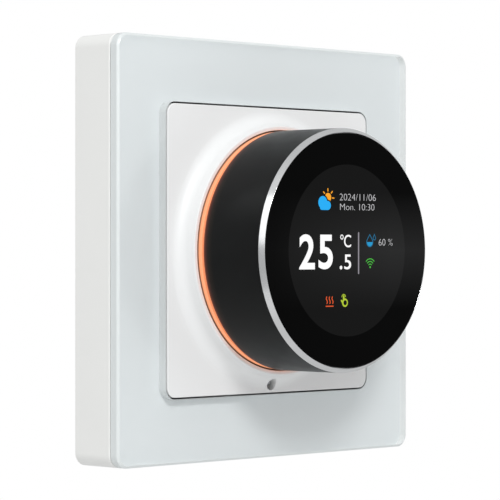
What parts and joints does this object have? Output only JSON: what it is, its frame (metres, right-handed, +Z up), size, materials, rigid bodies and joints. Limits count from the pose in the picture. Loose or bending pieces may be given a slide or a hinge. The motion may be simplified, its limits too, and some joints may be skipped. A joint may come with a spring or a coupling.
{
  "type": "wall thermostat",
  "caption": "Square flush wall thermostat with a glass frame, a raised round boss with a lit ring, and a turning and pressing display knob.",
  "frame": {"origin": "centre of the wall screw pattern on the knob's axis, in the plane of the wall's surface", "axes": "+Y into the wall, square to the wall face; +Z up the wall; +X to the right seen from the room"},
  "size_m": [0.08, 0.0536, 0.08],
  "materials": {
    "white_plastic": "satin moulded white plastic",
    "panel_glass": "polished glass, painted pale white on its back",
    "black_tape": "matt foam bonding tape",
    "light_guide": "translucent diffusing plastic, lit orange",
    "circuit_board": "green solder mask",
    "led": "small lit package",
    "steel_screw": "zinc plated steel",
    "grey_plastic": "moulded grey plastic",
    "dark_plastic": "matt black plastic",
    "cream_plastic": "nylon connector",
    "zinc_steel": "zinc plated pressed steel",
    "housing_plastic": "flame retardant white plastic, fine texture",
    "relay_blue": "blue component body",
    "capacitor_sleeve": "shrink sleeve",
    "fuse_brown": "brown component body",
    "terminal_green": "green terminal plastic",
    "brass_plated": "plated brass clamps",
    "natural_plastic": "natural low friction plastic",
    "display": "display stack",
    "clear_adhesive": "clear bonding film, dark behind",
    "cover_glass": "black printed cover glass",
    "ribbon_orange": "polyimide film",
    "black_aluminium": "satin black anodised sleeve",
    "bright_aluminium": "machined bright bevel"
  },
  "bodies": {
    "base": {"outer_frame": "white_plastic", "panel_tape": "black_tape", "glass_panel": "panel_glass", "centre_plate": "white_plastic", "light_ring": "light_guide", "led_board": "circuit_board", "ring_leds": "led", "led_board_screws": "steel_screw", "inner_tray": "grey_plastic", "tray_screws": "steel_screw", "room_sensor": "dark_plastic", "press_switch": "dark_plastic", "plug_socket": "dark_plastic", "plug_header": "dark_plastic", "ribbon_connector": "cream_plastic", "mounting_bracket": "zinc_steel", "bracket_screws": "steel_screw", "rear_housing": "housing_plastic", "insulating_cover": "housing_plastic", "power_board": "circuit_board", "board_screws": "steel_screw", "relay": "relay_blue", "power_module": "dark_plastic", "filter_capacitor": "capacitor_sleeve", "varistor": "relay_blue", "fuse": "fuse_brown", "terminal_block": "terminal_green", "terminal_clamps": "brass_plated", "terminal_screws": "steel_screw"},
    "head": {"rear_plate": "dark_plastic", "stem_clip": "zinc_steel", "rear_glide_ring": "natural_plastic", "display_carrier": "dark_plastic", "front_glide_ring": "natural_plastic", "carrier_screws": "steel_screw", "control_board": "circuit_board", "processor": "dark_plastic", "radio_module": "zinc_steel", "display_module": "display", "display_adhesive": "clear_adhesive", "cover_glass": "cover_glass", "encoder": "dark_plastic", "switch_plunger": "dark_plastic", "return_spring": "steel_screw", "ribbon_cable": "ribbon_orange"},
    "knob": {"knob_sleeve": "black_aluminium", "bezel_ring": "bright_aluminium", "ring_gear": "natural_plastic"},
    "encoder_gear": {"encoder_pinion": "natural_plastic"}
  },
  "joints": [
    {"name": "head_press", "type": "slide", "parent": "base", "child": "head", "axis": [0, 1, 0], "range_m": [0, 0.0005], "stiffness_N_per_m": 3000, "springref_m": -0.0003, "deforming": ["return_spring", "ribbon_cable"]},
    {"name": "knob_turn", "type": "hinge", "parent": "head", "child": "knob", "pos_m": [0, 0, 0], "axis": [0, 1, 0], "continuous": true},
    {"name": "encoder_turn", "type": "hinge", "parent": "head", "child": "encoder_gear", "pos_m": [0, -0.0232, 0.0144], "axis": [0, 1, 0], "continuous": true}
  ],
  "couplings": [
    {"joint": "encoder_turn", "follows": "knob_turn", "ratio": 5}
  ]
}
